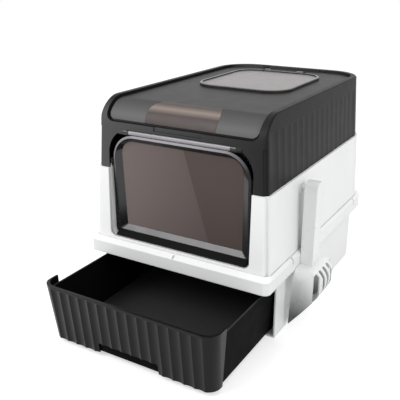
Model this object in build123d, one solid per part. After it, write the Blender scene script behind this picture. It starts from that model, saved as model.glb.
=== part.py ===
from build123d import *
import os
from math import atan2, degrees, hypot

# Drawer litter box: a tub that holds a sliding litter drawer, four snap-in panels, a removable
# lid with a swing door in front, a flip-up top with its own hatch, and a scoop on the side.
# Millimetres. X is across, seen from the front; Y runs back; Z is up. The origin is on the floor,
# under the middle of the enclosure's depth.

# ---------------------------------------------------------------- driving sizes
# shared
WALL = 3.0  # moulded wall of the casings
SEAT = 0.3  # gap under a piece that only rests on its seat
PIN_FIT = 0.05  # radial clearance of every hinge pin
SMALL_R = 0.5  # least corner radius left after an inset
FAR = 700.0  # longer than the whole box, for cutting blocks

# lid
LID_HALF = 162.0  # half width along the lid's bottom edge
LID_DEPTH = 495.0  # front to back along the bottom edge
LID_HEIGHT = 120.4
LID_SIDE_DRAFT = 7.6  # each side leans in this much over the height
LID_END_DRAFT = 2.9  # front and rear lean in this much
LID_ROLL_R = 48.0  # rolled top front edge, seen from the side
LID_FRONT_R = 8.0  # plan corners
LID_REAR_R = 70.0
LID_EDGE = 2.2  # bevel of the top edge
LID_FLUTE_PITCH = 25.0  # shallow upright flutes on the lid's sides
LID_FLUTE_DEPTH = 0.4
LID_FLUTES = 16
LID_FLUTE_FIRST = 32.0  # middle of the first flute, behind the front plane
LID_FLUTE_FOOT = 8.0  # plain bands under and over the flutes
LID_FLUTE_HEAD = 14.0
CORNER_GROOVE = 6.0  # upright groove at the front corners
CORNER_GROOVE_DEPTH = 1.6

# top flap, set into the lid
DECK_HALF = 143.0
DECK_REAR = 15.0  # from the lid's rear plane to the deck's edge
DECK_REAR_R = 58.0
DECK_SEAM = 82.0  # seam over the door, above the lid's bottom edge
DECK_SEAM_R = 14.0
DECK_RECESS = 5.0
FLAP_THICK = 2.7
FLAP_GAP = 3.0  # open groove round the flap
FLAP_LEDGE = 10.0  # ledge under the flap's edge
FLAP_KNUCKLE_X = 66.0  # middle of each hinge knuckle
FLAP_KNUCKLE_WIDE = 14.0
FLAP_KNUCKLE_R = 4.0
FLAP_PIN_R = 1.8
FLAP_PIN_LENGTH = 22.0  # from the knuckle's inner end out into the lid
FLAP_AXIS_BACK = 4.0  # hinge axis behind the deck's edge
FLAP_AXIS_UP = 1.0  # hinge axis above the flap's top
HINGE_SIDE_GAP = 0.5  # play at each end of a knuckle

# tinted strip in the flap's rolled front
STRIP_HALF = 67.0
STRIP_TOP = 116.0  # above the lid's bottom edge
STRIP_R = 13.0
STRIP_THICK = 1.4
STRIP_REST = 6.0  # rim that carries the strip
FINGER_HALF = 45.0  # shallow finger recess in the lid, under the strip
FINGER_LOW = 4.0  # above the doorway
FINGER_DEEP = 1.8

# hatch on the flap
HATCH_HALF = 94.0
HATCH_LONG = 219.0
HATCH_REAR = 75.0  # from the lid's rear plane to the hatch
HATCH_R = 45.0
HATCH_THICK = 2.5
HATCH_BEAD = 5.0
HATCH_BEAD_HIGH = 5.0
HATCH_BEAD_BEVEL = 1.3
HATCH_OVERLAP = 12.0  # hatch over the edge of its hole
HATCH_RIB_GAP = 1.0  # ribs under the hatch, which centre it in its hole
HATCH_RIB_THICK = 2.0
HATCH_RIB_DEEP = 4.0
HATCH_KNUCKLE_X = 36.0
HATCH_KNUCKLE_WIDE = 14.0
HATCH_KNUCKLE_R = 3.4
HATCH_EAR_WIDE = 6.0
HATCH_PIN_R = 1.5
HATCH_AXIS_BACK = 5.0

# panels
PANEL_HEIGHT = 134.0
PANEL_STEP = 3.5  # panel face outside the lid's bottom edge
PANEL_SIDE_DRAFT = 6.5
PANEL_END_DRAFT = 3.2
SHOULDER_THICK = 3.0  # inward shoulder that carries the lid
LIP_HIGH = 6.0  # lip that centres the lid
LIP_THICK = 2.2
LAP = 2.5  # lips that overlap behind the seams
LAP_WIDE = 12.0
REAR_SEAM = 70.0  # seam of the rear panel, from the lid's rear plane
SEAM = 0.8  # open line between panels
HOOK_Y = LID_DEPTH / 3  # snap hooks on the side panels, from the middle
HOOK_WIDE = 8.0
HOOK_THICK = 2.5
HOOK_LONG = 14.0
SLOT_WIDE = 3.0
SLOT_HIGH = 8.0

# doorway
DOOR_HALF = 138.0
DOOR_SILL = 8.0  # above the panels' foot
DOOR_ARCH = 71.0  # above the lid's bottom edge
DOOR_ARCH_R = 45.0
DOOR_SILL_R = 11.0
REVEAL_DEEP = 11.0  # inward return round the doorway

# swing door
SWING_GAP = 6.0
SWING_LOW = 6.0  # above the sill
SWING_TOP = 60.0  # above the lid's bottom edge
SWING_TOP_R = 47.0
SWING_LOW_R = 6.0
SWING_BACK = 12.0  # front of the door behind the front plane
SWING_RIM = 5.0  # flat rim round the door
SWING_BEVEL = 10.0
SWING_BEVEL_DEEP = 6.0
SWING_THICK = 2.5
SWING_FRAME_LOW_R = 11.0
SWING_FRAME_R = 32.0  # front edge of the bevel, top corners
SWING_BEAD = 1.1  # bevel on the rim's front edge
ROD_BACK = 5.2  # hinge rod's axis behind the front plane
ROD_UP = 66.0
ROD_R = 4.0
ROD_HALF = 101.0
ROD_PIN_R = 2.0
ROD_PIN_LONG = 7.0
EAR_R = 5.0
EAR_GAP = 0.5
EAR_LONG = 16.0
CLIP_SPACING = 70.0
CLIP_WIDE = 14.0
CLIP_DROP = 5.8
BUMPER_UP = 25.0  # middle of the door's side bumpers, above its bottom edge
BUMPER_LONG = 11.0
BUMPER_THICK = 3.0

# tub
BASE_HEIGHT = 138.0  # deck that the panels stand on
TUB_HALF = LID_HALF + 3
TUB_ENDS = LID_DEPTH / 2 - 5
TUB_FRONT_R = 6.0
TUB_REAR_R = 62.0
JAMB_BACK = 42.0  # side walls start this far behind the tub's front
RAIL_X = 110.0
RAIL_WIDE = 8.0
RAIL_HIGH = 6.6
FLANGE_LOW = BASE_HEIGHT - 24
FLANGE_EDGE = BASE_HEIGHT - 2
FLANGE_RISE = 4.0  # slope's top above the deck
FLANGE_SIDE = 6.0  # flange outside the panels' foot
FLANGE_ENDS = 11.3

# drawer
DRAWER_OPEN = 170.0  # how far it stands out in the model's rest position
DRAWER_TOP = FLANGE_LOW - 2
DRAWER_LOW = 8.5
DRAWER_HALF = TUB_HALF - 2
DRAWER_SIDE_DRAFT = 6.0
DRAWER_FRONT_BACK = 8.0  # closed front's top edge behind the lid's front plane
DRAWER_FRONT_LEAN = 12.0
DRAWER_FRONT_R = 22.0
DRAWER_REAR_R = 60.0
DRAWER_REAR_GAP = 5.0
FASCIA_WALL = 5.0
FASCIA_RETURN_GAP = 1.0
TRAY_GAP = 0.2
TRAY_DROP = 12.0  # tray's rim below the front's top
TRAY_FLOOR = 3.0
FLUTES = 15
FLUTE_PITCH = 19.07
FLUTE_DEPTH = 2.0
FLUTE_LIP = 4.5  # plain lip over the flutes
PULL_HALF = 58.0  # finger notch in the drawer's front
PULL_HIGH = 19.0
PULL_R = 4.0

# scoop and its hook
SCOOP_Y = 129.0  # behind the lid's front plane
BOWL_HALF = 47.0
BOWL_FOOT = 12.0
BOWL_TOP = 117.0
BOWL_WALL = 2.2
BOWL_DEEP = 46.5
SCOOP_CLEAR = 0.6  # scoop hangs this far outside the flange
TIP_LEAN = 4.0  # the mouth's lower end leans in towards the tub
BOWL_SLOTS = 5
BOWL_SLOT_PITCH = 17.0
BOWL_SLOT_WIDE = 9.5
BOWL_SLOT_LOW = 32.0
BOWL_SLOT_TOP = 113.0
BOWL_SLOT_END = 2.0  # cut corners of a slot
BOWL_RISE = 1.25  # of the underside, for each mm away from the tip
BOWL_SIDE_R = 34.0  # corners seen from above
BOWL_HIGH_R = 20.0  # top corners seen from outside
BOWL_BELLY_R = 50.0
BOWL_BACK_R = 24.0
HANDLE_HALF = 15.5
HANDLE_TOP = 266.0
HANDLE_THICK = 22.0
HANDLE_R = 14.5
HANDLE_HOLLOW_R = 11.0
HANDLE_LIP = 9.0
HOOK_ARM_HALF = 4.0
HOOK_ARM_THICK = 4.0
HOOK_PLATE_THICK = 2.5
HOOK_PLATE_HALF = 8.0
HOOK_PLATE_LOW = 8.0  # plate below and above the arm's underside
HOOK_PLATE_HIGH = 10.0

# ---------------------------------------------------------------- heights and planes
FRONT = -LID_DEPTH / 2
REAR = LID_DEPTH / 2
PANEL_FOOT = BASE_HEIGHT
LID_FOOT = PANEL_FOOT + PANEL_HEIGHT
LID_TOP = LID_FOOT + LID_HEIGHT
SILL = PANEL_FOOT + DOOR_SILL


# ---------------------------------------------------------------- helpers
def rounded(half, low, high, r_low, r_high):
    """Flat face, symmetric about local x = 0, with its own corner radius at each end."""
    face = Pos(0, (low + high) / 2) * Rectangle(2 * half, high - low)
    for end, radius in ((low, r_low), (high, r_high)):
        if radius > 0:
            corners = face.vertices().filter_by(lambda v: abs(v.Y - end) < 1e-6)
            face = fillet(corners, radius)
    return face


class Outline:
    """Level outline of a casing: half width, front, rear and the corner radii at each end."""

    def __init__(self, half, front, rear, r_front, r_rear):
        self.half = half
        self.front = front
        self.rear = rear
        self.r_front = max(r_front, SMALL_R)
        self.r_rear = max(r_rear, SMALL_R)

    def spread(self, side, ends):
        """Outline moved out by side at each side and by ends at front and rear, corners kept."""
        return Outline(self.half + side, self.front - ends, self.rear + ends, self.r_front, self.r_rear)

    def inset(self, gap):
        """Outline moved in by gap all round, corners too."""
        radii = (self.r_front - gap, self.r_rear - gap)
        return Outline(self.half - gap, self.front + gap, self.rear - gap, *radii)

    def at(self, z):
        return Pos(0, 0, z) * rounded(self.half, self.front, self.rear, self.r_front, self.r_rear)


def between(low, z_low, high, z_high):
    """Solid with four flat leaning sides from one outline to the other, and round corners."""
    front_view = Polyline(
        (-low.half, z_low), (low.half, z_low), (high.half, z_high), (-high.half, z_high), close=True
    )
    side_view = Polyline(
        (low.front, z_low), (low.rear, z_low), (high.rear, z_high), (high.front, z_high), close=True
    )
    block = extrude(Plane.XZ * make_face(front_view), amount=FAR, both=True)
    block = block & extrude(Plane.YZ * make_face(side_view), amount=FAR, both=True)
    corners = block.edges().filter_by(lambda e: abs(e.tangent_at(0.5).Z) > 0.5).sort_by(Axis.Y)
    block = fillet(corners[:2], low.r_front)
    corners = block.edges().filter_by(lambda e: abs(e.tangent_at(0.5).Z) > 0.5).sort_by(Axis.Y)
    return fillet(corners[-2:], low.r_rear)


def slope(low, z_low, high, z_high):
    """Sloping top between two outlines of the same corner radii."""
    return loft([low.at(z_low), high.at(z_high)], ruled=True)


def slab(x, y, z):
    """Box between pairs of limits."""
    mid = [(a + b) / 2 for a, b in (x, y, z)]
    size = [b - a for a, b in (x, y, z)]
    return Pos(*mid) * Box(*size)


def upright(face, y_from, y_to):
    """Face drawn in X and Z, run along Y."""
    return extrude(Plane.XZ.offset(-y_from) * face, amount=y_from - y_to)


def bar(radius, x_from, x_to, y, z):
    """Round bar along X."""
    return Pos((x_from + x_to) / 2, y, z) * Rot(0, 90, 0) * Cylinder(radius, x_to - x_from)


def pair(part):
    """The part and its mirror image across the middle."""
    return part + mirror(part, Plane.YZ)


def corner_column(low, z_low, high, z_high):
    """Column over the right front corner of a leaning casing, for the groove there."""
    wide = 5 * CORNER_GROOVE
    faces = []
    for outline, z in ((low, z_low), (high, z_high)):
        x = outline.half - CORNER_GROOVE
        y = outline.front + CORNER_GROOVE
        faces.append(Pos(x + wide / 2, y - wide / 2, z) * Rectangle(wide, wide))
    return loft(faces, ruled=True)


# ---------------------------------------------------------------- outlines
lid_foot = Outline(LID_HALF, FRONT, REAR, LID_FRONT_R, LID_REAR_R)
lid_head = lid_foot.spread(-LID_SIDE_DRAFT, -LID_END_DRAFT)
panel_head = lid_foot.inset(-PANEL_STEP)
panel_foot = panel_head.spread(PANEL_SIDE_DRAFT, PANEL_END_DRAFT)
flange = panel_foot.spread(FLANGE_SIDE, FLANGE_ENDS)
tub = Outline(TUB_HALF, -TUB_ENDS, TUB_ENDS, TUB_FRONT_R, TUB_REAR_R)


def panel_block(gap, z_low=PANEL_FOOT, z_high=LID_FOOT):
    """Solid inside the panels' outer faces, inset by gap."""
    block = between(panel_foot.inset(gap), PANEL_FOOT, panel_head.inset(gap), LID_FOOT)
    return block & slab((-FAR, FAR), (-FAR, FAR), (z_low, z_high))


def ahead(gap):
    """Everything in front of the panels' leaning front face, moved back by gap."""
    lean = PANEL_END_DRAFT / PANEL_HEIGHT
    y_foot = panel_foot.front + gap - lean * PANEL_FOOT
    face = Polyline(
        (-FAR, 0),
        (y_foot, 0),
        (y_foot + lean * LID_TOP, LID_TOP),
        (-FAR, LID_TOP),
        close=True,
    )
    return extrude(Plane.YZ * make_face(face), amount=FAR, both=True)


def roll(depth):
    """Side profile of the lid, inset by depth, run across the whole width."""
    face = Polyline(
        (FRONT + depth, LID_FOOT - WALL),
        (FRONT + depth + LID_END_DRAFT, LID_TOP - depth),
        (FAR, LID_TOP - depth),
        (FAR, LID_FOOT - WALL),
        close=True,
    )
    face = make_face(face)
    corner = face.vertices().sort_by_distance((FRONT + depth, LID_TOP - depth, 0))[0]
    face = fillet(corner, LID_ROLL_R - depth)
    return extrude(Plane.YZ * face, amount=FAR, both=True)


def deck(grow):
    """Upright block over the flap's outline, grown by grow: full on top, cut off at the seam."""
    split = FRONT + 2 * LID_ROLL_R
    seam = LID_FOOT + DECK_SEAM - grow
    top = LID_FOOT + 2 * LID_HEIGHT
    plan = rounded(DECK_HALF + grow, split, REAR - DECK_REAR + grow, 0, DECK_REAR_R + grow)
    front = rounded(DECK_HALF + grow, seam, top, DECK_SEAM_R + grow, 0)
    return extrude(Pos(0, 0, LID_FOOT) * plan, amount=top - LID_FOOT) + upright(front, 2 * FRONT, split)


def doorway(grow):
    """Face of the doorway, grown by grow; the lid and the front panel share it."""
    arch = LID_FOOT + DOOR_ARCH
    return rounded(DOOR_HALF + grow, SILL - grow, arch + grow, DOOR_SILL_R + grow, DOOR_ARCH_R + grow)


# ---------------------------------------------------------------- lid
FLAP_AXIS_Y = REAR - DECK_REAR + FLAP_AXIS_BACK
FLAP_AXIS_Z = LID_TOP - DECK_RECESS + FLAP_AXIS_UP
ROD_Y = FRONT + ROD_BACK
ROD_Z = LID_FOOT + ROD_UP
LEDGE_TOP = DECK_RECESS + FLAP_THICK + SEAT
FLAP_KNUCKLE_LOW = FLAP_KNUCKLE_X - FLAP_KNUCKLE_WIDE / 2
FLAP_KNUCKLE_HIGH = FLAP_KNUCKLE_X + FLAP_KNUCKLE_WIDE / 2


def lid_flutes():
    """Wide shallow hollows, side by side along the lid's right side."""
    half = LID_FLUTE_PITCH / 2
    radius = (half ** 2 + LID_FLUTE_DEPTH ** 2) / (2 * LID_FLUTE_DEPTH)
    lean = degrees(atan2(LID_SIDE_DRAFT, LID_HEIGHT))
    length = LID_HEIGHT - LID_FLUTE_FOOT - LID_FLUTE_HEAD
    middle = LID_FLUTE_FOOT + length / 2
    x = LID_HALF - LID_SIDE_DRAFT * middle / LID_HEIGHT + radius - LID_FLUTE_DEPTH
    hollows = []
    for i in range(LID_FLUTES):
        y = FRONT + LID_FLUTE_FIRST + i * LID_FLUTE_PITCH
        hollows.append(Pos(x, y, LID_FOOT + middle) * Rot(0, -lean, 0) * Cylinder(radius, length))
    return hollows


def make_lid():
    outer = between(lid_foot, LID_FOOT, lid_head, LID_TOP) & roll(0)
    top_edges = outer.edges().filter_by_position(Axis.Z, LID_TOP - 1, LID_TOP + 1)
    outer = chamfer(top_edges, LID_EDGE)
    hollow = between(lid_foot.inset(WALL), LID_FOOT, lid_head.inset(WALL), LID_TOP) & roll(WALL)
    shell = outer - hollow
    wall = (deck(WALL) & roll(0)) - roll(LEDGE_TOP + WALL)
    boss = slab(
        (FLAP_KNUCKLE_LOW - WALL, FLAP_KNUCKLE_LOW + FLAP_PIN_LENGTH + WALL),
        (REAR - DECK_REAR, FLAP_AXIS_Y + FLAP_KNUCKLE_R + WALL),
        (FLAP_AXIS_Z - 2 * FLAP_KNUCKLE_R, LID_TOP),
    )
    shell = shell + wall + (pair(boss) & outer)
    shell = shell - (deck(0) - roll(LEDGE_TOP)) - deck(-FLAP_LEDGE)
    shell = shell - upright(doorway(0), FRONT - WALL, FRONT + SWING_BACK)
    finger = slab(
        (-FINGER_HALF, FINGER_HALF),
        (-FAR, FRONT + LID_ROLL_R),
        (LID_FOOT + DOOR_ARCH + FINGER_LOW, LID_FOOT + DECK_SEAM + WALL),
    )
    shell = shell - (finger - roll(FINGER_DEEP))
    room = FLAP_KNUCKLE_R + HINGE_SIDE_GAP
    pocket = slab(
        (FLAP_KNUCKLE_LOW - HINGE_SIDE_GAP, FLAP_KNUCKLE_HIGH + HINGE_SIDE_GAP),
        (REAR - DECK_REAR - FLAP_GAP, FLAP_AXIS_Y + room),
        (FLAP_AXIS_Z - room, LID_TOP + WALL),
    )
    bore = bar(
        FLAP_PIN_R + PIN_FIT,
        FLAP_KNUCKLE_HIGH,
        FLAP_KNUCKLE_LOW + FLAP_PIN_LENGTH,
        FLAP_AXIS_Y,
        FLAP_AXIS_Z,
    )
    ear = bar(EAR_R, ROD_HALF + EAR_GAP, ROD_HALF + EAR_LONG, ROD_Y, ROD_Z)
    socket = bar(ROD_PIN_R + PIN_FIT, ROD_HALF, ROD_HALF + ROD_PIN_LONG + EAR_GAP, ROD_Y, ROD_Z)
    shell = shell - pair(pocket) - pair(bore) + pair(ear) - pair(socket)
    groove = corner_column(lid_foot, LID_FOOT, lid_head, LID_TOP)
    groove = groove & slab((0, FAR), (-FAR, FAR), (LID_FOOT - WALL, LID_TOP - LID_ROLL_R))
    core = between(
        lid_foot.inset(CORNER_GROOVE_DEPTH), LID_FOOT, lid_head.inset(CORNER_GROOVE_DEPTH), LID_TOP
    )
    shell = shell - pair(groove - core)
    for hollow in lid_flutes():
        shell = shell - pair(hollow)
    return shell


# ---------------------------------------------------------------- top flap
def strip_face(grow, foot):
    """Face of the tinted strip, grown by grow, from foot above the seam over the door."""
    return rounded(
        STRIP_HALF + grow, LID_FOOT + DECK_SEAM + foot, LID_FOOT + STRIP_TOP + grow, 0, STRIP_R + grow
    )


def hatch_plan(grow):
    """Hatch's outline seen from above, grown by grow."""
    low = HATCH_END - HATCH_LONG - grow
    high = HATCH_END + grow
    return rounded(HATCH_HALF + grow, low, high, HATCH_R + grow, HATCH_R + grow)


FLAP_TOP = LID_TOP - DECK_RECESS
HATCH_END = REAR - HATCH_REAR
HATCH_AXIS_Y = HATCH_END + HATCH_AXIS_BACK
HATCH_AXIS_Z = FLAP_TOP + SEAT + HATCH_KNUCKLE_R
HATCH_KNUCKLE_LOW = HATCH_KNUCKLE_X - HATCH_KNUCKLE_WIDE / 2
HATCH_KNUCKLE_HIGH = HATCH_KNUCKLE_X + HATCH_KNUCKLE_WIDE / 2
HATCH_EAR_LOW = HATCH_KNUCKLE_HIGH + HINGE_SIDE_GAP
HATCH_EAR_HIGH = HATCH_EAR_LOW + HATCH_EAR_WIDE


def make_flap():
    flap = deck(-FLAP_GAP) & (roll(DECK_RECESS) - roll(DECK_RECESS + FLAP_THICK))
    hole = hatch_plan(-HATCH_OVERLAP)
    flap = flap - extrude(Pos(0, 0, FLAP_TOP - 2 * WALL) * hole, amount=4 * WALL)
    seat = upright(strip_face(0, 0), FRONT - WALL, FRONT + LID_ROLL_R) - roll(DECK_RECESS + STRIP_THICK)
    hole = strip_face(-STRIP_REST, FLAP_GAP + STRIP_REST)
    flap = flap - seat - upright(hole, FRONT - WALL, FRONT + LID_ROLL_R)
    knuckle = bar(FLAP_KNUCKLE_R, FLAP_KNUCKLE_LOW, FLAP_KNUCKLE_HIGH, FLAP_AXIS_Y, FLAP_AXIS_Z)
    web = slab(
        (FLAP_KNUCKLE_LOW, FLAP_KNUCKLE_HIGH),
        (REAR - DECK_REAR - FLAP_LEDGE, FLAP_AXIS_Y),
        (FLAP_TOP - FLAP_THICK, FLAP_TOP),
    )
    bore = bar(FLAP_PIN_R + PIN_FIT, FLAP_KNUCKLE_LOW, FLAP_KNUCKLE_HIGH, FLAP_AXIS_Y, FLAP_AXIS_Z)
    ear = bar(HATCH_KNUCKLE_R, HATCH_EAR_LOW, HATCH_EAR_HIGH, HATCH_AXIS_Y, HATCH_AXIS_Z)
    foot = slab(
        (HATCH_EAR_LOW, HATCH_EAR_HIGH),
        (HATCH_AXIS_Y - HATCH_KNUCKLE_R, HATCH_AXIS_Y + HATCH_KNUCKLE_R),
        (FLAP_TOP - FLAP_THICK / 2, HATCH_AXIS_Z),
    )
    ear_bore = bar(HATCH_PIN_R + PIN_FIT, HATCH_EAR_LOW, HATCH_EAR_HIGH, HATCH_AXIS_Y, HATCH_AXIS_Z)
    return flap + pair(knuckle + web + ear + foot) - pair(bore) - pair(ear_bore)


def make_flap_pins():
    end = FLAP_KNUCKLE_LOW + FLAP_PIN_LENGTH
    return pair(bar(FLAP_PIN_R, FLAP_KNUCKLE_LOW, end, FLAP_AXIS_Y, FLAP_AXIS_Z))


def make_strip():
    strip = upright(strip_face(-SEAT / 2, 0), FRONT - WALL, FRONT + LID_ROLL_R)
    return strip & (roll(DECK_RECESS) - roll(DECK_RECESS + STRIP_THICK)) & deck(-FLAP_GAP)


# ---------------------------------------------------------------- hatch
def make_hatch():
    foot = FLAP_TOP + SEAT
    plate = extrude(Pos(0, 0, foot) * hatch_plan(0), amount=HATCH_THICK)
    bead = extrude(Pos(0, 0, foot) * (hatch_plan(0) - hatch_plan(-HATCH_BEAD)), amount=HATCH_BEAD_HIGH)
    rim = bead.faces().sort_by(Axis.Z)[-1].outer_wire().edges()
    bead = chamfer(rim, HATCH_BEAD_BEVEL)
    rib_x = HATCH_HALF - HATCH_OVERLAP - HATCH_RIB_GAP
    rib_reach = HATCH_R + HATCH_OVERLAP
    rib_down = (foot - HATCH_RIB_DEEP, foot)
    side_rib = slab(
        (rib_x - HATCH_RIB_THICK, rib_x),
        (HATCH_END - HATCH_LONG + rib_reach, HATCH_END - rib_reach),
        rib_down,
    )
    rib_y = HATCH_END - HATCH_LONG + HATCH_OVERLAP + HATCH_RIB_GAP
    front_rib = slab(
        (rib_reach - HATCH_HALF, HATCH_HALF - rib_reach), (rib_y, rib_y + HATCH_RIB_THICK), rib_down
    )
    low = HATCH_KNUCKLE_LOW
    high = HATCH_KNUCKLE_HIGH
    knuckle = bar(HATCH_KNUCKLE_R, low, high, HATCH_AXIS_Y, HATCH_AXIS_Z)
    web = slab((low, high), (HATCH_END - HATCH_BEAD, HATCH_AXIS_Y), (foot, HATCH_AXIS_Z))
    bore = bar(HATCH_PIN_R + PIN_FIT, low, high, HATCH_AXIS_Y, HATCH_AXIS_Z)
    return plate + bead + front_rib + pair(side_rib) + pair(knuckle + web) - pair(bore)


def make_hatch_pins():
    return pair(bar(HATCH_PIN_R, HATCH_KNUCKLE_LOW, HATCH_EAR_HIGH, HATCH_AXIS_Y, HATCH_AXIS_Z))


# ---------------------------------------------------------------- swing door
SWING_HALF = DOOR_HALF - SWING_GAP
SWING_FOOT = SILL + SWING_LOW
SWING_HEAD = LID_FOOT + SWING_TOP
SWING_Y = FRONT + SWING_BACK


def swing_face(grow):
    return rounded(
        SWING_HALF + grow,
        SWING_FOOT - grow,
        SWING_HEAD + grow,
        max(SWING_LOW_R + grow, SMALL_R),
        SWING_TOP_R + grow,
    )


def frame_face(grow):
    """Front edge of the picture frame's bevel, grown by grow."""
    return rounded(
        SWING_HALF - SWING_RIM + grow,
        SWING_FOOT + SWING_RIM - grow,
        SWING_HEAD - SWING_RIM + grow,
        SWING_FRAME_LOW_R + grow,
        SWING_FRAME_R + grow,
    )


def standing(face, y):
    """Face drawn in X and Z, stood up at one depth."""
    return Plane.XZ.offset(-y) * face


def make_door():
    back = SWING_Y + SWING_THICK
    rim = upright(swing_face(0), SWING_Y, back)
    rim = chamfer(rim.faces().sort_by(Axis.Y)[0].edges(), SWING_BEAD)
    taper = degrees(atan2(SWING_BEVEL, SWING_BEVEL_DEEP))
    pan = extrude(standing(frame_face(SWING_THICK), back), amount=-SWING_BEVEL_DEEP, taper=taper)
    dish = extrude(standing(frame_face(0), SWING_Y), amount=-SWING_BEVEL_DEEP, taper=taper)
    door = rim + pan - dish
    for x in (-CLIP_SPACING, 0, CLIP_SPACING):
        side = (x - CLIP_WIDE / 2, x + CLIP_WIDE / 2)
        door = door + slab(side, (ROD_Y, back), (ROD_Z - CLIP_DROP, ROD_Z))
        door = door + slab(side, (SWING_Y, back), (SWING_HEAD - SWING_RIM, ROD_Z))
    return door - bar(ROD_R + PIN_FIT, -ROD_HALF, ROD_HALF, ROD_Y, ROD_Z)


def make_rod():
    end = ROD_HALF + ROD_PIN_LONG
    return bar(ROD_R, -ROD_HALF, ROD_HALF, ROD_Y, ROD_Z) + bar(ROD_PIN_R, -end, end, ROD_Y, ROD_Z)


def make_bumpers():
    middle = SWING_FOOT + BUMPER_UP
    nub = slab(
        (SWING_HALF, SWING_HALF + BUMPER_THICK),
        (SWING_Y + SWING_BEAD, SWING_Y + SWING_THICK),
        (middle - BUMPER_LONG / 2, middle + BUMPER_LONG / 2),
    )
    return pair(nub)


# ---------------------------------------------------------------- panels
def lap_piece(limits):
    """Lip behind the panels' faces, between the given limits."""
    return (panel_block(WALL) - panel_block(WALL + LAP)) & limits


def crown():
    """Shoulder that carries the lid's edge, and the lip that centres the lid."""
    lip_foot = lid_foot.inset(WALL + SEAT)
    lip_head = lid_head.inset(WALL + SEAT)
    core = between(lip_foot.inset(LIP_THICK), PANEL_FOOT, lip_foot.inset(LIP_THICK), LID_TOP)
    shoulder = panel_block(0, LID_FOOT - SHOULDER_THICK)
    lip = between(lip_foot, LID_FOOT, lip_head, LID_TOP)
    lip = lip & slab((-FAR, FAR), (-FAR, FAR), (LID_FOOT, LID_FOOT + LIP_HIGH))
    return shoulder + lip - core


SIDE_REAR = REAR - REAR_SEAM
HEIGHTS = (0, LID_TOP)
GROOVES = pair(corner_column(panel_foot, PANEL_FOOT, panel_head, LID_FOOT))
SHELL = panel_block(0) - panel_block(WALL) - GROOVES
CROWN = crown() - GROOVES


def make_front_panel():
    side_faces = SHELL - ahead(CORNER_GROOVE)
    panel = (SHELL & ahead(CORNER_GROOVE)) + (CROWN & ahead(LAP_WIDE)) - side_faces
    corner = slab((DOOR_HALF + WALL, FAR), (-FAR, 0), (PANEL_FOOT, LID_FOOT - SHOULDER_THICK))
    panel = panel + pair(lap_piece(corner & ahead(LAP_WIDE)))
    reveal = upright(doorway(WALL), FRONT, FRONT + REVEAL_DEEP)
    reveal = reveal & slab((-FAR, FAR), (-FAR, FAR), (PANEL_FOOT, LID_FOOT))
    hook = slab(
        (-HOOK_WIDE / 2, HOOK_WIDE / 2),
        (panel_foot.front + WALL - HOOK_THICK, panel_foot.front + WALL),
        (PANEL_FOOT - HOOK_LONG, PANEL_FOOT + WALL),
    )
    return panel + reveal + hook - upright(doorway(0), -FAR, 0)


def make_side_panel():
    """Right panel; the left one is its mirror image."""
    panel = (SHELL - ahead(CORNER_GROOVE)) + (CROWN - ahead(LAP_WIDE + SEAM))
    panel = panel & slab((0, FAR), (-FAR, SIDE_REAR - SEAM), HEIGHTS)
    x_out = panel_foot.half - WALL + HOOK_THICK
    for y in (-HOOK_Y, HOOK_Y):
        panel = panel + slab(
            (x_out - HOOK_THICK, x_out),
            (y - HOOK_WIDE / 2, y + HOOK_WIDE / 2),
            (PANEL_FOOT - HOOK_LONG, PANEL_FOOT + WALL),
        )
    return panel


def make_rear_panel():
    panel = (SHELL + CROWN) & slab((-FAR, FAR), (SIDE_REAR, FAR), HEIGHTS)
    lap = slab((0, FAR), (SIDE_REAR - LAP_WIDE, SIDE_REAR + WALL), (PANEL_FOOT, LID_FOOT - SHOULDER_THICK))
    panel = panel + pair(lap_piece(lap))
    hook = slab(
        (-HOOK_WIDE / 2, HOOK_WIDE / 2),
        (panel_foot.rear - WALL, panel_foot.rear - WALL + HOOK_THICK),
        (PANEL_FOOT - HOOK_LONG, PANEL_FOOT + WALL),
    )
    return panel + hook


# ---------------------------------------------------------------- tub
JAMB_Y = -TUB_ENDS + JAMB_BACK


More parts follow.
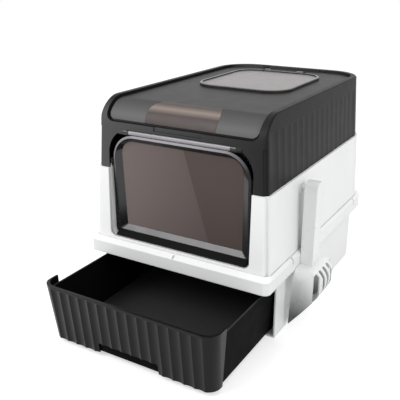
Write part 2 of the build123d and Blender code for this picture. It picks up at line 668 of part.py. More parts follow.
def make_base():
    slope_top = panel_foot.inset(-SEAT)
    crest = BASE_HEIGHT + FLANGE_RISE
    outer = between(flange, FLANGE_LOW, flange, FLANGE_EDGE) + slope(flange, FLANGE_EDGE, slope_top, crest)
    room = between(flange.inset(WALL), FLANGE_LOW, flange.inset(WALL), FLANGE_EDGE - WALL)
    room = room + slope(flange.inset(WALL), FLANGE_EDGE - WALL, slope_top.inset(WALL), BASE_HEIGHT - WALL)
    room = room - between(tub, 0, tub, BASE_HEIGHT)
    standing_room = between(slope_top, BASE_HEIGHT, slope_top, crest)
    walls = between(tub, 0, tub, BASE_HEIGHT)
    base = walls + outer - room - standing_room
    base = base - between(tub.inset(WALL), WALL, tub.inset(WALL), crest)
    base = base - slab((-FAR, FAR), (-FAR, JAMB_Y), (-WALL, FLANGE_LOW))
    rail = slab(
        (RAIL_X - RAIL_WIDE / 2, RAIL_X + RAIL_WIDE / 2),
        (JAMB_Y, TUB_ENDS - TUB_REAR_R / 2),
        (WALL / 2, WALL + RAIL_HIGH),
    )
    base = base + pair(rail)
    for y in (-HOOK_Y, HOOK_Y):
        slot = slab(
            (panel_foot.half - WALL - SEAT, FAR),
            (y - HOOK_WIDE / 2 - SEAT, y + HOOK_WIDE / 2 + SEAT),
            (BASE_HEIGHT - 2 * WALL, BASE_HEIGHT + WALL),
        )
        base = base - pair(slot & between(panel_foot, FLANGE_LOW, panel_foot, crest))
        window = slab(
            (panel_foot.half, FAR),
            (y - SLOT_WIDE / 2, y + SLOT_WIDE / 2),
            (FLANGE_EDGE - SLOT_HIGH, FLANGE_EDGE + SLOT_HIGH / 2),
        )
        base = base - pair(window)
    for side in (-1, 1):
        low, high = sorted((side * (panel_foot.rear - WALL - SEAT), side * panel_foot.rear))
        slot = slab(
            (-HOOK_WIDE / 2 - SEAT, HOOK_WIDE / 2 + SEAT), (low, high), (BASE_HEIGHT - 2 * WALL, BASE_HEIGHT + WALL)
        )
        base = base - slot
        low, high = sorted((side * (panel_foot.rear + WALL), side * (panel_foot.rear + WALL + SLOT_HIGH)))
        base = base - slab((-SLOT_WIDE / 2, SLOT_WIDE / 2), (low, high), (FLANGE_EDGE, BASE_HEIGHT + WALL))
    return base


# ---------------------------------------------------------------- drawer
DRAWER_FRONT = FRONT + DRAWER_FRONT_BACK
DRAWER_BACK = TUB_ENDS - WALL - DRAWER_REAR_GAP
drawer_head = Outline(DRAWER_HALF, DRAWER_FRONT, DRAWER_BACK, DRAWER_FRONT_R, DRAWER_REAR_R)
drawer_foot = Outline(
    DRAWER_HALF - DRAWER_SIDE_DRAFT,
    DRAWER_FRONT + DRAWER_FRONT_LEAN,
    DRAWER_BACK - DRAWER_SIDE_DRAFT,
    DRAWER_FRONT_R,
    DRAWER_REAR_R,
)
TRAY_FOOT = WALL + RAIL_HIGH + SEAT
TRAY_HEAD = DRAWER_TOP - TRAY_DROP
PULLED_OUT = Pos(0, -DRAWER_OPEN, 0)


def drawer_block(side, ends, z_low, z_high):
    """Solid inside the drawer's outline, drawn in by side and ends, between two heights."""
    low = drawer_foot.spread(-side, -ends)
    high = drawer_head.spread(-side, -ends)
    block = between(low, DRAWER_LOW, high, DRAWER_TOP)
    return block & slab((-FAR, FAR), (-FAR, FAR), (z_low, z_high))


def fascia_flutes():
    half = FLUTE_PITCH / 2
    radius = (half ** 2 + FLUTE_DEPTH ** 2) / (2 * FLUTE_DEPTH)
    high = DRAWER_TOP - FLUTE_LIP
    length = 2 * (high - DRAWER_LOW)
    lean = degrees(atan2(DRAWER_FRONT_LEAN, DRAWER_TOP - DRAWER_LOW))
    y_high = DRAWER_FRONT + DRAWER_FRONT_LEAN * (DRAWER_TOP - high) / (DRAWER_TOP - DRAWER_LOW)
    hollows = []
    for i in range(FLUTES):
        x = (i - (FLUTES - 1) / 2) * FLUTE_PITCH
        post = Pos(0, -radius + FLUTE_DEPTH, -length / 2) * Cylinder(radius, length)
        hollows.append(Pos(x, y_high, high) * Rot(lean, 0, 0) * post)
    return hollows


def make_fascia():
    fascia = drawer_block(0, 0, DRAWER_LOW, DRAWER_TOP)
    fascia = fascia - drawer_block(WALL, FASCIA_WALL, DRAWER_LOW, DRAWER_TOP)
    fascia = fascia & slab((-FAR, FAR), (-FAR, JAMB_Y - FASCIA_RETURN_GAP), HEIGHTS)
    for hollow in fascia_flutes():
        fascia = fascia - hollow
    pull = rounded(PULL_HALF, -PULL_R, DRAWER_LOW + PULL_HIGH, SMALL_R, PULL_R)
    fascia = fascia - upright(pull, -FAR, 0)
    return PULLED_OUT * fascia


def make_tray():
    side = WALL + TRAY_GAP
    ends = FASCIA_WALL + TRAY_GAP
    tray = drawer_block(side, ends, TRAY_FOOT, TRAY_HEAD)
    tray = tray - drawer_block(side + WALL, ends + WALL, TRAY_FOOT + TRAY_FLOOR, DRAWER_TOP)
    return PULLED_OUT * tray


# ---------------------------------------------------------------- scoop and hook
SCOOP_MIDDLE = FRONT + SCOOP_Y
SCOOP_X = flange.half + SCOOP_CLEAR  # plane of the mouth's upper end and of the handle's open side
HANDLE_X = SCOOP_X + HANDLE_THICK


def bowl(gap):
    """Scoop's bowl, inset by gap: round in its side view, seen from above and at the top corners."""
    belly = SCOOP_X + BOWL_DEEP - gap
    inside = SCOOP_X - 3 * TIP_LEAN
    foot = BOWL_FOOT + gap * hypot(1, BOWL_RISE) - BOWL_RISE * (SCOOP_X - TIP_LEAN)
    low = (belly, foot + BOWL_RISE * belly)
    high = (belly, BOWL_TOP - gap)
    start = (inside, foot + BOWL_RISE * inside)
    face = make_face(Polyline(start, low, high, (inside, BOWL_TOP - gap), close=True))
    for point, radius in ((low, BOWL_BELLY_R), (high, BOWL_BACK_R)):
        face = fillet(face.vertices().sort_by_distance((*point, 0))[0], radius - gap)
    side = upright(face, SCOOP_MIDDLE - BOWL_HALF + gap, SCOOP_MIDDLE + BOWL_HALF - gap)
    outside = rounded(BOWL_HALF - gap, 0, BOWL_TOP - gap, 0, BOWL_HIGH_R - gap)
    plan = Pos(0, SCOOP_MIDDLE) * Rot(0, 0, -90) * rounded(BOWL_HALF - gap, 0, belly, 0, BOWL_SIDE_R - gap)
    bowl_body = side & extrude(Plane.YZ * Pos(SCOOP_MIDDLE, 0) * outside, amount=FAR)
    return bowl_body & extrude(plan, amount=FAR)


def make_scoop():
    mouth = Polyline(
        (0, 0),
        (SCOOP_X - TIP_LEAN, 0),
        (SCOOP_X - TIP_LEAN, BOWL_FOOT),
        (SCOOP_X, BOWL_TOP - WALL),
        (SCOOP_X, HANDLE_TOP),
        (0, HANDLE_TOP),
        close=True,
    )
    shell = bowl(0) - bowl(BOWL_WALL) - upright(make_face(mouth), FRONT, REAR)
    y_low = SCOOP_MIDDLE - HANDLE_HALF
    y_high = SCOOP_MIDDLE + HANDLE_HALF
    handle = slab((SCOOP_X, HANDLE_X), (y_low, y_high), (BOWL_TOP - BOWL_WALL, HANDLE_TOP))
    handle = fillet(handle.edges().filter_by(Axis.X).group_by(Axis.Z)[-1], HANDLE_R)
    hollow = slab(
        (SCOOP_X - WALL, HANDLE_X - BOWL_WALL),
        (y_low + BOWL_WALL, y_high - BOWL_WALL),
        (BOWL_TOP, HANDLE_TOP - BOWL_WALL),
    )
    hollow = fillet(hollow.edges().filter_by(Axis.X).group_by(Axis.Z)[-1], HANDLE_HOLLOW_R)
    lip = slab((SCOOP_X, SCOOP_X + BOWL_WALL), (y_low, y_high), (HANDLE_TOP - HANDLE_LIP, FAR))
    scoop = shell + (handle - hollow) + (lip & handle)
    slot = Rectangle(BOWL_SLOT_WIDE, BOWL_SLOT_TOP - BOWL_SLOT_LOW)
    slot = chamfer(slot.vertices(), BOWL_SLOT_END)
    for i in range(BOWL_SLOTS):
        slot_y = SCOOP_MIDDLE + (i - (BOWL_SLOTS - 1) / 2) * BOWL_SLOT_PITCH
        slot_at = Plane.YZ.offset(SCOOP_X) * Pos(slot_y, (BOWL_SLOT_LOW + BOWL_SLOT_TOP) / 2)
        scoop = scoop - extrude(slot_at * slot, amount=FAR)
    return scoop


def make_scoop_hook():
    top = HANDLE_TOP - BOWL_WALL - SEAT
    arm_z = top - HANDLE_LIP - HOOK_ARM_THICK
    wide = (SCOOP_MIDDLE - HOOK_ARM_HALF, SCOOP_MIDDLE + HOOK_ARM_HALF)
    lip_in = SCOOP_X + BOWL_WALL + SEAT
    arm = slab((LID_HALF, lip_in + WALL), wide, (arm_z, arm_z + HOOK_ARM_THICK))
    arm = arm + slab((lip_in, lip_in + WALL), wide, (arm_z, top))
    plate = slab(
        (LID_HALF, lip_in),
        (SCOOP_MIDDLE - HOOK_PLATE_HALF, SCOOP_MIDDLE + HOOK_PLATE_HALF),
        (arm_z - HOOK_PLATE_LOW, arm_z + HOOK_PLATE_HIGH),
    )
    plate = plate & (panel_block(-HOOK_PLATE_THICK) - panel_block(0))
    return plate + (arm - panel_block(0))


# ---------------------------------------------------------------- write
right_panel = make_side_panel()
nodes = {
    "base_tub": make_base(),
    "front_panel": make_front_panel(),
    "right_panel": right_panel,
    "left_panel": mirror(right_panel, Plane.YZ),
    "rear_panel": make_rear_panel(),
    "lid_shell": make_lid(),
    "top_flap": make_flap(),
    "top_flap_pins": make_flap_pins(),
    "tinted_strip": make_strip(),
    "hatch": make_hatch(),
    "hatch_pins": make_hatch_pins(),
    "swing_door": make_door(),
    "door_rod": make_rod(),
    "door_bumpers": make_bumpers(),
    "drawer_tray": make_tray(),
    "drawer_front": make_fascia(),
    "litter_scoop": make_scoop(),
    "scoop_hook": make_scoop_hook(),
}

os.makedirs("parts", exist_ok=True)
for name, shape in nodes.items():
    export_step(shape, "parts/" + name + ".step")
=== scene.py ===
import math

import bmesh
import bpy
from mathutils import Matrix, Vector


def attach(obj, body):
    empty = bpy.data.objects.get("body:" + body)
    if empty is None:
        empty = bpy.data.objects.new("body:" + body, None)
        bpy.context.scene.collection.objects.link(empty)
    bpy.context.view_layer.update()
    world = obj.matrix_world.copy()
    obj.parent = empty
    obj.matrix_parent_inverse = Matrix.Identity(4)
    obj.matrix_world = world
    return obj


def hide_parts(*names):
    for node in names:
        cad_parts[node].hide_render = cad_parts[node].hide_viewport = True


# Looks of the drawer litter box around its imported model. Metres, in the model's own frame:
# X is across, seen from the front; Y runs back; Z is up, and the floor is at z = 0.

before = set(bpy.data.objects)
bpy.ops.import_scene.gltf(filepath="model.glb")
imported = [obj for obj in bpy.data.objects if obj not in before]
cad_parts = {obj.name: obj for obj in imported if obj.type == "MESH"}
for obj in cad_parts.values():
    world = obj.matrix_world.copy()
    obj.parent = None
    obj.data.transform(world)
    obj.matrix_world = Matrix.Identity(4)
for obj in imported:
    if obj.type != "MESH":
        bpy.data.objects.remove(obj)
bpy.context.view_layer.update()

# ---------------------------------------------------------------- camera
CAMERA_AT = (0.5181, -1.0480, 0.5941)
CAMERA_AZIMUTH = 30.61  # degrees round from the front towards the right
CAMERA_ELEVATION = 20.53
CAMERA_LENS = 55.4
CAMERA_SENSOR = 36.0

# ---------------------------------------------------------------- light
WORLD_FILL = 0.7  # what the world gives to diffuse surfaces
KEY_AT = (-0.95, -1.55, 1.65)
KEY_SIZE = 1.1
KEY_POWER = 24.0
SIDE_AT = (1.9, -0.5, 1.1)
SIDE_SIZE = 1.2
SIDE_POWER = 9.0
TOP_AT = (0.1, 0.35, 2.0)
TOP_SIZE = 1.3
TOP_POWER = 10.0
AIM = (0.0, -0.05, 0.2)  # what the lamps point at

# ---------------------------------------------------------------- colours, linear
WHITE = (0.87, 0.875, 0.875)
SCOOP_WHITE = (0.84, 0.85, 0.85)
# painted shade, low down on the scoop's front side
SCOOP_SHADE = (0.08, 0.084, 0.087)
LID_BLACK = (0.0105, 0.0105, 0.0108)
# painted sheen on the lid's front, from its left to its right
LID_PAINTED_SHEEN_LEFT = (0.084, 0.084, 0.085)
LID_PAINTED_SHEEN_RIGHT = (0.019, 0.019, 0.0193)
FLAP_BLACK = (0.016, 0.016, 0.0164)
# painted sheen on the flap's rolled front
FLAP_PAINTED_SHEEN = (0.115, 0.115, 0.1165)
DRAWER_BLACK = (0.0025, 0.0025, 0.0027)
TRAY_BLACK = (0.005, 0.005, 0.0052)
TRAY_PALER_UP = (0.04, 0.04, 0.0405)
STRIP_SMOKE = (0.062, 0.047, 0.044)
# painted highlight band across the strip
STRIP_PAINTED_HIGHLIGHT = (0.25, 0.2, 0.175)
HATCH_SMOKE = (0.22, 0.206, 0.206)
HATCH_EDGE = (0.02, 0.018, 0.018)
# painted reflection on the pane's left part; PANE_RIGHT is the pane's own colour
PANE_REFLECTION_LEFT = (0.178, 0.146, 0.139)
PANE_REFLECTION_MIDDLE = (0.118, 0.091, 0.087)
PANE_RIGHT = (0.092, 0.071, 0.065)
FRAME_BLACK = (0.01, 0.01, 0.0115)
BEAD_DARK = (0.012, 0.012, 0.0135)
# painted highlight on the rim's chamfer
BEAD_PAINTED_HIGHLIGHT = (0.26, 0.247, 0.26)
# painted shade: the black lip stands in for the shaded gap below the door
GAP_SHADE_BLACK = (0.004, 0.004, 0.0045)
PIN_GREY = (0.3, 0.29, 0.31)
RUBBER = (0.012, 0.012, 0.013)

# ---------------------------------------------------------------- where the colours change
SCOOP_SHADE_FROM = 0.03  # heights between which the painted shade on the scoop fades out
SCOOP_SHADE_TO = 0.105
LID_PAINTED_SHEEN_FROM = -0.165  # across the lid's front, where the painted sheen fades from left to right
LID_PAINTED_SHEEN_TO = 0.165
FLAP_CURVE_FROM = -0.235  # depths at which the flap's rolled front begins and ends, where its painted sheen fades
FLAP_CURVE_TO = -0.2
STRIP_BAND_LOW = 0.374  # heights of the painted highlight band on the strip
STRIP_BAND_MIDDLE = 0.381
STRIP_BAND_HIGH = 0.386
PANE_FROM = -0.117  # the painted reflection on the pane darkens from the first x to the second
PANE_TO = 0.05
REFLECTION_EDGE_AT = 0.0985  # x of the painted reflection's edge at z = 0
REFLECTION_EDGE_SLANT = 0.2816  # how far the edge goes to the left for each unit of height
REFLECTION_EDGE_SOFT = 0.0006
BEAD_FROM = 0.27  # heights between which the rim's chamfer grows lighter with a painted highlight
BEAD_TO = 0.325
BEAD_SLANT = 0.25  # how much higher that is for each unit to the right

# How far a surface faces along an axis, -1 to 1, where a look begins and where it ends.
# where the painted sheen on the lid's front lies
LID_FRONT_FACING = (-0.95, -0.4)
HATCH_FLAT_FACING = (0.35, 0.9)
# where the painted shade on the scoop's front side lies
SCOOP_FRONT_FACING = (-0.95, -0.2)
TRAY_UP_FACING = (0.2, 0.95)

# ---------------------------------------------------------------- plastic
FLOW_SCALE = 14.0  # flow marks, in features per metre
FLOW_DETAIL = 4.0
FLOW_STRETCH = (1, 1, 0.5)
FLOW_VARIATION = 0.05
GLOSS_SCALE = 45.0  # uneven gloss, in features per metre
GRAIN_DETAIL = 2.0
GRAIN_HEIGHT = 0.0002
BLACK_GRAIN = {"grain": 1400.0, "grain_depth": 0.08}
DRAWER_GRAIN = {"grain": 1400.0, "grain_depth": 0.05}
FINE_GRAIN = {"grain": 900.0, "grain_depth": 0.03}
CLEAR_GRAIN = {"grain": 300.0, "grain_depth": 0.012}
RUBBER_GRAIN = {"grain": 700.0, "grain_depth": 0.2}
EDGE_ROUND = 0.0009  # rounding of moulded edges in the shading
TUB_ROUND = 0.0025
EDGE_SAMPLES = 4

# ---------------------------------------------------------------- swing door
CORNER_STEPS = 16
DOOR_HALF = 0.1333
DOOR_FOOT = 0.1468
DOOR_HEAD = 0.3335
DOOR_LOW_R = 0.008
DOOR_TOP_R = 0.047
DOOR_BACK = -0.2330
FOOT_NARROW = 0.022  # share of its width that the door loses at its foot
FOOT_BACK = 0.008  # how far the foot hangs back
RIM_WIDE = 0.004
RIM_LOW = 0.0095  # the rim is wider at the foot
RIM_Y = -0.2458  # front of the rim
RIM_EDGE_Y = -0.2434
RIDGE_LOW_R = 0.003
BEAD_THICK = 0.0003
BEAD_SEAT = 0.0008  # how deep the bead sits in the rim
PANE_HALF = 0.1172
PANE_FOOT = 0.1655
PANE_HEAD = 0.3215
PANE_LOW_R = 0.001
PANE_TOP_R = 0.024
PANE_Y = -0.2393
LAP = 0.0004  # the pane reaches this far into the rim
LIP_HALF = 0.129
LIP_PROFILE = (  # y, z
    (-0.2336, 0.1545),
    (-0.2375, 0.1555),
    (-0.2494, 0.1482),
    (-0.2494, 0.1468),
    (-0.2336, 0.1468),
)
CLIP_SPACING = 0.07
CLIP_HALF = 0.007
ROD_Y = -0.2423
ROD_Z = 0.338
ROD_END = 0.101
KNOB_SIDES = 32
KNOB_PROFILE = (  # x past the rod's end, radius
    (-0.0045, 0.0046),
    (-0.0038, 0.0053),
    (0.0058, 0.0053),
    (0.0065, 0.0046),
)

# ---------------------------------------------------------------- stage
FLOOR_HALF = 6.0
FLOOR_WHITE = 0.66
FLOOR_ROUGH = 0.9
FLOOR_GLOW = 0.55  # light of the floor's own, which is seen but lights nothing


# ---------------------------------------------------------------- node helpers
def add_node(tree, kind, **values):
    node = tree.nodes.new("ShaderNode" + kind)
    for key, value in values.items():
        setattr(node, key, value)
    return node


class Nodes:
    """Short way to make and link the nodes of one material."""

    def __init__(self, name):
        self.material = bpy.data.materials.new(name)
        self.material.use_nodes = True
        self.tree = self.material.node_tree
        self.shader = self.tree.nodes["Principled BSDF"]

    def add(self, kind, **values):
        return add_node(self.tree, kind, **values)

    def link(self, source, target):
        self.tree.links.new(source, target)

    def colour_by(self, output):
        self.link(output, self.shader.inputs["Base Color"])

    def noise(self, scale, detail=3.0, stretch=(1, 1, 1)):
        """Noise in object coordinates; scale is features per metre."""
        place = self.add("TexCoord")
        mapping = self.add("Mapping")
        mapping.inputs["Scale"].default_value = stretch
        texture = self.add("TexNoise")
        texture.inputs["Scale"].default_value = scale
        texture.inputs["Detail"].default_value = detail
        self.link(place.outputs["Object"], mapping.inputs["Vector"])
        self.link(mapping.outputs["Vector"], texture.inputs["Vector"])
        return texture.outputs["Fac"]

    def spread(self, value, low, high, low_in=0.35, high_in=0.65):
        """Maps low_in..high_in to low..high and clamps; the defaults suit noise, which stays near 0.5."""
        node = self.add("MapRange")
        node.inputs["From Min"].default_value = low_in
        node.inputs["From Max"].default_value = high_in
        node.inputs["To Min"].default_value = low
        node.inputs["To Max"].default_value = high
        self.link(value, node.inputs["Value"])
        return node.outputs["Result"]

    def rising(self, value, start, end):
        """0 up to start, and 1 from end on."""
        return self.spread(value, 0, 1, start, end)

    def falling(self, value, start, end):
        """1 up to start, and 0 from end on."""
        return self.spread(value, 1, 0, start, end)

    def axis_of(self, source, axis):
        place = self.add("TexCoord")
        parts = self.add("SeparateXYZ")
        self.link(place.outputs[source], parts.inputs["Vector"])
        return parts.outputs[axis]

    def coordinate(self, axis):
        return self.axis_of("Object", axis)

    def facing(self, axis):
        """How far the surface faces along an axis of its object, -1 to 1."""
        return self.axis_of("Normal", axis)

    def slanted(self, first, factor, second):
        """First coordinate times the factor, plus the second coordinate."""
        total = self.add("Math", operation="MULTIPLY_ADD")
        total.inputs[1].default_value = factor
        self.link(self.coordinate(first), total.inputs[0])
        self.link(self.coordinate(second), total.inputs[2])
        return total.outputs["Value"]

    def absolute(self, value):
        node = self.add("Math", operation="ABSOLUTE")
        self.link(value, node.inputs[0])
        return node.outputs["Value"]

    def product(self, first, second):
        node = self.add("Math", operation="MULTIPLY")
        self.link(first, node.inputs[0])
        self.link(second, node.inputs[1])
        return node.outputs["Value"]

    def blend(self, factor, first, second):
        """Blend of two colours, each a plain colour or another node's output."""
        node = self.add("Mix", data_type="RGBA")
        for name, colour in (("A", first), ("B", second)):
            if isinstance(colour, tuple):
                node.inputs[name].default_value = (*colour, 1)
            else:
                self.link(colour, node.inputs[name])
        self.link(factor, node.inputs["Factor"])
        return node.outputs["Result"]


def scaled(colour, factor):
    return tuple(min(channel * factor, 1.0) for channel in colour)


# ---------------------------------------------------------------- materials
def moulding(name, rough, uneven, grain, grain_depth, edge=EDGE_ROUND, shine=0.5, alpha=1.0):
    """Moulded plastic without its colour: uneven gloss, a fine grain and rounded edges."""
    nodes = Nodes(name)
    nodes.shader.inputs["Specular IOR Level"].default_value = shine
    nodes.shader.inputs["Alpha"].default_value = alpha
    gloss = nodes.spread(nodes.noise(GLOSS_SCALE), rough - uneven, rough + uneven)
    nodes.link(gloss, nodes.shader.inputs["Roughness"])
    bump = nodes.add("Bump")
    bump.inputs["Strength"].default_value = grain_depth
    bump.inputs["Distance"].default_value = GRAIN_HEIGHT
    nodes.link(nodes.noise(grain, detail=GRAIN_DETAIL), bump.inputs["Height"])
    bevel = nodes.add("Bevel", samples=EDGE_SAMPLES)
    bevel.inputs["Radius"].default_value = edge
    nodes.link(bevel.outputs["Normal"], bump.inputs["Normal"])
    nodes.link(bump.outputs["Normal"], nodes.shader.inputs["Normal"])
    return nodes


def plastic(name, colour, variation=FLOW_VARIATION, **surface):
    """Moulded plastic of one colour, with soft flow marks."""
    nodes = moulding(name, **surface)
    flow = nodes.spread(nodes.noise(FLOW_SCALE, FLOW_DETAIL, FLOW_STRETCH), 0.0, 1.0)
    nodes.colour_by(nodes.blend(flow, scaled(colour, 1 - variation), scaled(colour, 1 + variation)))
    return nodes


def pane_plastic():
    """Brown pane of the door, with a painted reflection, paler on the left, that ends at a slanting edge.
    """
    nodes = moulding("pane_plastic", rough=0.45, uneven=0.04, shine=0.12, alpha=0.93, **FINE_GRAIN)
    across = nodes.rising(nodes.coordinate("X"), PANE_FROM, PANE_TO)
    # the paler part is a painted reflection
    pale = nodes.blend(across, PANE_REFLECTION_LEFT, PANE_REFLECTION_MIDDLE)
    edge = nodes.rising(nodes.slanted("Z", REFLECTION_EDGE_SLANT, "X"), REFLECTION_EDGE_AT - REFLECTION_EDGE_SOFT, REFLECTION_EDGE_AT + REFLECTION_EDGE_SOFT)
    nodes.colour_by(nodes.blend(edge, pale, PANE_RIGHT))
    return nodes


def bead_plastic():
    """Chamfer of the door's rim, with a painted highlight that grows towards the top."""
    nodes = moulding("bead_plastic", rough=0.3, uneven=0.03, shine=0.25, **FINE_GRAIN)
    height = nodes.rising(nodes.slanted("X", -BEAD_SLANT, "Z"), BEAD_FROM, BEAD_TO)
    nodes.colour_by(nodes.blend(height, BEAD_DARK, BEAD_PAINTED_HIGHLIGHT))
    return nodes


def strip_plastic():
    """Smoked strip in the curved front, with a soft painted highlight band across its upper part."""
    nodes = moulding("smoked_plastic", rough=0.45, uneven=0.03, shine=0.3, alpha=0.9, **CLEAR_GRAIN)
    up = nodes.rising(nodes.coordinate("Z"), STRIP_BAND_LOW, STRIP_BAND_MIDDLE)
    down = nodes.falling(nodes.coordinate("Z"), STRIP_BAND_MIDDLE, STRIP_BAND_HIGH)
    nodes.colour_by(nodes.blend(nodes.product(up, down), STRIP_SMOKE, STRIP_PAINTED_HIGHLIGHT))
    return nodes


def lid_plastic():
    """Lid: its front has a painted sheen that fades from the left to the right."""
    nodes = moulding("lid_plastic", rough=0.42, uneven=0.015, shine=0.07, **BLACK_GRAIN)
    front = nodes.falling(nodes.facing("Y"), *LID_FRONT_FACING)
    across = nodes.rising(nodes.coordinate("X"), LID_PAINTED_SHEEN_FROM, LID_PAINTED_SHEEN_TO)
    sheen = nodes.blend(across, LID_PAINTED_SHEEN_LEFT, LID_PAINTED_SHEEN_RIGHT)
    nodes.colour_by(nodes.blend(front, LID_BLACK, sheen))
    return nodes


def flap_plastic():
    """Top flap: its rolled front has a paler painted sheen than its flat part."""
    nodes = moulding("flap_plastic", rough=0.4, uneven=0.012, shine=0.1, **BLACK_GRAIN)
    curve = nodes.falling(nodes.coordinate("Y"), FLAP_CURVE_FROM, FLAP_CURVE_TO)
    nodes.colour_by(nodes.blend(curve, FLAP_BLACK, FLAP_PAINTED_SHEEN))
    return nodes


def hatch_plastic():
    """Hatch: clear where it lies flat, darker in the upright sides of its bead."""
    nodes = moulding("hatch_plastic", rough=0.3, uneven=0.02, shine=0.35, alpha=0.85, **CLEAR_GRAIN)
    flat = nodes.rising(nodes.absolute(nodes.facing("Z")), *HATCH_FLAT_FACING)
    nodes.colour_by(nodes.blend(flat, HATCH_EDGE, HATCH_SMOKE))
    return nodes


def scoop_plastic():
    """Scoop: white, with painted shade low down on the side that faces the front."""
    nodes = moulding("scoop_plastic", rough=0.3, uneven=0.03, **FINE_GRAIN)
    front = nodes.falling(nodes.facing("Y"), *SCOOP_FRONT_FACING)
    low = nodes.falling(nodes.coordinate("Z"), SCOOP_SHADE_FROM, SCOOP_SHADE_TO)
    nodes.colour_by(nodes.blend(nodes.product(front, low), SCOOP_WHITE, SCOOP_SHADE))
    return nodes


def tray_plastic():
    """Litter tray: a paler black on what faces up."""
    nodes = moulding("tray_plastic", rough=0.5, uneven=0.03, shine=0.01, **BLACK_GRAIN)
    upward = nodes.rising(nodes.facing("Z"), *TRAY_UP_FACING)
    nodes.colour_by(nodes.blend(upward, TRAY_BLACK, TRAY_PALER_UP))
    return nodes


WHITE_SURFACE = {"variation": 0.01, "rough": 0.34, "uneven": 0.05, **FINE_GRAIN}

MATERIALS = {
    "white": plastic("white_plastic", WHITE, **WHITE_SURFACE),
    "tub": plastic("tub_plastic", WHITE, edge=TUB_ROUND, **WHITE_SURFACE),
    "flap": flap_plastic(),
    "lid": lid_plastic(),
    "drawer": plastic("drawer_plastic", DRAWER_BLACK, rough=0.32, uneven=0.015, shine=0.17, **DRAWER_GRAIN),
    "tray": tray_plastic(),
    "frame": plastic("frame_plastic", FRAME_BLACK, rough=0.2, uneven=0.02, **CLEAR_GRAIN),
    "lip": plastic("gap_shade_plastic", GAP_SHADE_BLACK, rough=0.5, uneven=0.03, shine=0.1, **CLEAR_GRAIN),
    "bead": bead_plastic(),
    "pane": pane_plastic(),
    "smoke": strip_plastic(),
    "hatch": hatch_plastic(),
    "pin": plastic("pin_plastic", PIN_GREY, rough=0.3, uneven=0.05, **FINE_GRAIN),
    "rubber": plastic("bumper_rubber", RUBBER, rough=0.7, uneven=0.05, **RUBBER_GRAIN),
    "scoop": scoop_plastic(),
}

NODE_LOOKS = {
    "base_tub": "tub",
    "front_panel": "white",
    "left_panel": "white",
    "right_panel": "white",
    "rear_panel": "white",
    "scoop_hook": "white",
    "lid_shell": "lid",
    "top_flap": "flap",
    "top_flap_pins": "pin",
    "tinted_strip": "smoke",
    "hatch": "hatch",
    "hatch_pins": "pin",
    "swing_door": "frame",
    "door_rod": "pin",
    "door_bumpers": "rubber",
    "drawer_tray": "tray",
    "drawer_front": "drawer",
    "litter_scoop": "scoop",
}


def dress_nodes():
    for node, look in NODE_LOOKS.items():
        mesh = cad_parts[node].data
        mesh.materials.clear()
        mesh.materials.append(MATERIALS[look].material)


# ---------------------------------------------------------------- own pieces
def place_in_scene(name, data):
    thing = bpy.data.objects.new(name, data)
    bpy.context.scene.collection.objects.link(thing)
    return thing


def piece(name, mesh, look, body):
    """Object of the visual model, on the body that carries it."""
    thing = place_in_scene(name, mesh)
    mesh.materials.append(MATERIALS[look].material)
    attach(thing, body)
    return thing


def rounded_loop(half, low, high, low_r, high_r, y):
    """Points round an upright rectangle with its own lower and upper corner radii."""
    corners = (
        (half, low, low_r, -90),
        (half, high, high_r, 0),
        (-half, high, high_r, 90),
        (-half, low, low_r, 180),
    )
    points = []
    for x, z, r, start in corners:
        centre_x = x - math.copysign(r, x)
        centre_z = z + r if z == low else z - r
        for step in range(CORNER_STEPS + 1):
            turn = math.radians(start + 90 * step / CORNER_STEPS)
            points.append((centre_x + r * math.cos(turn), y, centre_z + r * math.sin(turn)))
    return points


def lofted(name, loops, closed=True):
    """Mesh through loops with as many points each: a closed ring, or a solid with flat ends."""
    count = len(loops[0])
    last = len(loops) if closed else len(loops) - 1
    faces = []
    for i in range(last):
        j = (i + 1) % len(loops)
        for k in range(count):
            n = (k + 1) % count
            faces.append((i * count + k, i * count + n, j * count + n, j * count + k))
    if not closed:
        faces.append(tuple(range(count)))
        faces.append(tuple(reversed(range(last * count, last * count + count))))
    mesh = bpy.data.meshes.new(name)
    mesh.from_pydata([point for loop in loops for point in loop], [], faces)
    grid = bmesh.new()
    grid.from_mesh(mesh)
    bmesh.ops.recalc_face_normals(grid, faces=grid.faces)
    grid.to_mesh(mesh)
    grid.free()
    return mesh


def block(name, x, y, z):
    """Box between two values on each axis."""
    loops = [[(x[0], y[0], h), (x[1], y[0], h), (x[1], y[1], h), (x[0], y[1], h)] for h in z]
    return lofted(name, loops, closed=False)


def leaned(loop):
    """The door narrows a little towards its foot, and hangs back there."""
    points = []
    for x, y, z in loop:
        low = (DOOR_HEAD - z) / (DOOR_HEAD - DOOR_FOOT)
        points.append((x * (1 - FOOT_NARROW * low), y + FOOT_BACK * low, z))
    return points


def door_mesh(name, levels, closed=True):
    """Mesh through outlines of the door, each with the depth that it stands at."""
    loops = [leaned(rounded_loop(*outline, y)) for outline, y in levels]
    return lofted(name, loops, closed)


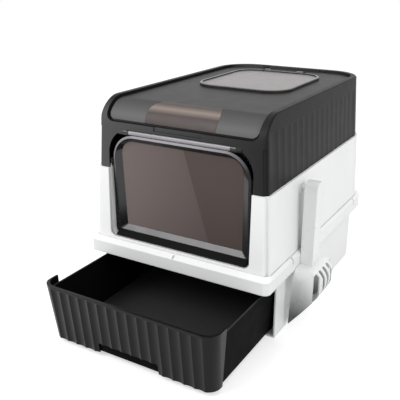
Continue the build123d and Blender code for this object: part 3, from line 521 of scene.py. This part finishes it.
def make_door():
    """Swing door: a chamfered rim with a black lip at its foot that stands in for the shade in the gap
    below the door, a bevel like a picture frame's, and the pane.
    """
    outer = (DOOR_HALF, DOOR_FOOT, DOOR_HEAD, DOOR_LOW_R, DOOR_TOP_R)
    ridge = (
        DOOR_HALF - RIM_WIDE,
        DOOR_FOOT + RIM_LOW,
        DOOR_HEAD - RIM_WIDE,
        RIDGE_LOW_R,
        DOOR_TOP_R - RIM_WIDE,
    )
    pane = (PANE_HALF, PANE_FOOT, PANE_HEAD, PANE_LOW_R, PANE_TOP_R)
    lapped = (PANE_HALF + LAP, PANE_FOOT - LAP, PANE_HEAD + LAP, PANE_LOW_R + LAP, PANE_TOP_R + LAP)

    levels = ((outer, DOOR_BACK), (outer, RIM_EDGE_Y), (ridge, RIM_Y), (pane, PANE_Y), (pane, DOOR_BACK))
    rim = piece("door_frame", door_mesh("door_frame", levels), "frame", "door")
    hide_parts("swing_door")

    levels = (
        (outer, RIM_EDGE_Y + BEAD_SEAT),
        (outer, RIM_EDGE_Y - BEAD_THICK),
        (ridge, RIM_Y - BEAD_THICK),
        (ridge, RIM_Y + BEAD_SEAT),
    )
    piece("door_bead", door_mesh("door_bead", levels), "bead", "door")

    # black lip at the foot, a dark piece where the gap below the door is in shade
    loops = [[(x, y, z) for y, z in LIP_PROFILE] for x in (-LIP_HALF, LIP_HALF)]
    piece("door_gap_shade", lofted("door_gap_shade", loops, closed=False), "lip", "door")

    levels = ((lapped, PANE_Y), (lapped, DOOR_BACK - LAP))
    piece("door_pane", door_mesh("door_pane", levels, closed=False), "pane", "door")

    for i, x in enumerate((-CLIP_SPACING, 0, CLIP_SPACING)):
        height = (DOOR_HEAD - RIM_WIDE, ROD_Z)
        clip = block("door_clip", (x - CLIP_HALF, x + CLIP_HALF), (ROD_Y, DOOR_BACK), height)
        piece("door_clip_%d" % i, clip, "frame", "door")


def make_rod_ends():
    """Dark knobs on the rod's ends."""
    turns = [math.tau * k / KNOB_SIDES for k in range(KNOB_SIDES)]
    for side, name in ((1, "right"), (-1, "left")):
        loops = []
        for past, r in KNOB_PROFILE:
            x = side * (ROD_END + past)
            loops.append([(x, ROD_Y + r * math.cos(t), ROD_Z + r * math.sin(t)) for t in turns])
        piece("rod_knob_" + name, lofted("rod_knob", loops, closed=False), "frame", "door")


# ---------------------------------------------------------------- floor, world, lamps and camera
def white_for_rays(tree):
    """1 for camera, mirror and see-through rays, else 0."""
    rays = add_node(tree, "LightPath")
    first = add_node(tree, "Math", operation="MAXIMUM")
    second = add_node(tree, "Math", operation="MAXIMUM")
    tree.links.new(rays.outputs["Is Camera Ray"], first.inputs[0])
    tree.links.new(rays.outputs["Is Glossy Ray"], first.inputs[1])
    tree.links.new(first.outputs[0], second.inputs[0])
    tree.links.new(rays.outputs["Is Transmission Ray"], second.inputs[1])
    return second.outputs[0]


def level_for_rays(tree, plain, white):
    """The white level for the rays that see the backdrop, and the plain level for all others."""
    level = add_node(tree, "MapRange")
    level.inputs["To Min"].default_value = plain
    level.inputs["To Max"].default_value = white
    tree.links.new(white_for_rays(tree), level.inputs["Value"])
    return level.outputs["Result"]


def make_floor():
    mesh = bpy.data.meshes.new("floor")
    corners = [(x * FLOOR_HALF, y * FLOOR_HALF, 0) for x, y in ((-1, -1), (1, -1), (1, 1), (-1, 1))]
    mesh.from_pydata(corners, [], [(0, 1, 2, 3)])
    floor = place_in_scene("floor", mesh)
    nodes = Nodes("floor")
    nodes.shader.inputs["Base Color"].default_value = (FLOOR_WHITE, FLOOR_WHITE, FLOOR_WHITE, 1)
    nodes.shader.inputs["Roughness"].default_value = FLOOR_ROUGH
    nodes.shader.inputs["Specular IOR Level"].default_value = 0.0
    nodes.shader.inputs["Emission Color"].default_value = (1, 1, 1, 1)
    nodes.link(level_for_rays(nodes.tree, 0.0, FLOOR_GLOW), nodes.shader.inputs["Emission Strength"])
    mesh.materials.append(nodes.material)


def make_world():
    world = bpy.data.worlds.new("studio")
    bpy.context.scene.world = world
    world.use_nodes = True
    tree = world.node_tree
    background = tree.nodes["Background"]
    background.inputs["Color"].default_value = (1, 1, 1, 1)
    tree.links.new(level_for_rays(tree, WORLD_FILL, 1.0), background.inputs["Strength"])


def softbox(name, place, size, power):
    """Square area lamp aimed at the box."""
    lamp = bpy.data.lights.new(name, "AREA")
    lamp.shape = "SQUARE"
    lamp.size = size
    lamp.energy = power
    thing = place_in_scene(name, lamp)
    thing.location = place
    thing.rotation_euler = (Vector(AIM) - Vector(place)).to_track_quat("-Z", "Y").to_euler()


def make_camera():
    data = bpy.data.cameras.new("camera")
    data.lens = CAMERA_LENS
    data.sensor_width = CAMERA_SENSOR
    camera = place_in_scene("camera", data)
    camera.location = CAMERA_AT
    camera.rotation_euler = (math.radians(90 - CAMERA_ELEVATION), 0, math.radians(CAMERA_AZIMUTH))
    bpy.context.scene.camera = camera


dress_nodes()
make_door()
make_rod_ends()
make_floor()
make_world()
softbox("key", KEY_AT, KEY_SIZE, KEY_POWER)
softbox("side", SIDE_AT, SIDE_SIZE, SIDE_POWER)
softbox("top", TOP_AT, TOP_SIZE, TOP_POWER)
make_camera()
bpy.context.scene.view_settings.view_transform = "Standard"
